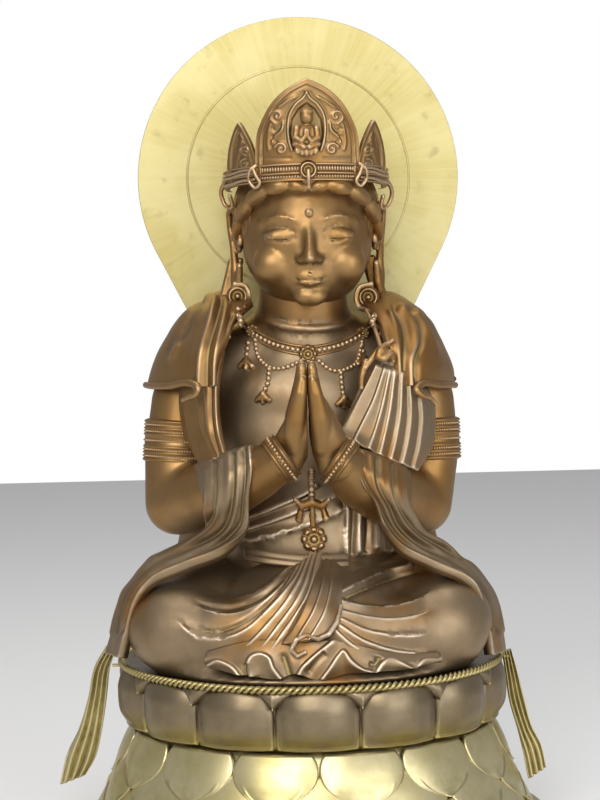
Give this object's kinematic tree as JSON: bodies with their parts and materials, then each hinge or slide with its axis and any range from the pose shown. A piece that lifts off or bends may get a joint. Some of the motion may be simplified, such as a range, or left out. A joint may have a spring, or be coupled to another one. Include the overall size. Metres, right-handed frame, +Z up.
{
  "type": "seated deity statue",
  "caption": "Seated cast bronze deity with joined palms, crown and scarves, on a two-tier lotus pedestal with a gilt teardrop halo plate behind.",
  "frame": {"origin": "centre of the round underside of the lotus base", "axes": "+Z up through the head, the figure faces -Y, +X is at the figure's left hand"},
  "size_m": [0.6197, 0.6, 1.0275],
  "materials": {
    "bronze": "cast bronze, waxed brown patina with rubbed ridges and dark recesses",
    "dark_bronze": "dark patinated bronze with gilt petal edges",
    "gilt": "gilt bronze, olive in the recesses",
    "gold_leaf": "pale gold leaf with fine radial brush marks"
  },
  "bodies": {
    "root": {"figure": "bronze", "lotus_seat": "dark_bronze", "lotus_base": "gilt", "halo": "gold_leaf", "halo_post": "gilt", "scarf_end_left": "gilt", "scarf_end_right": "gilt"}
  },
  "joints": []
}
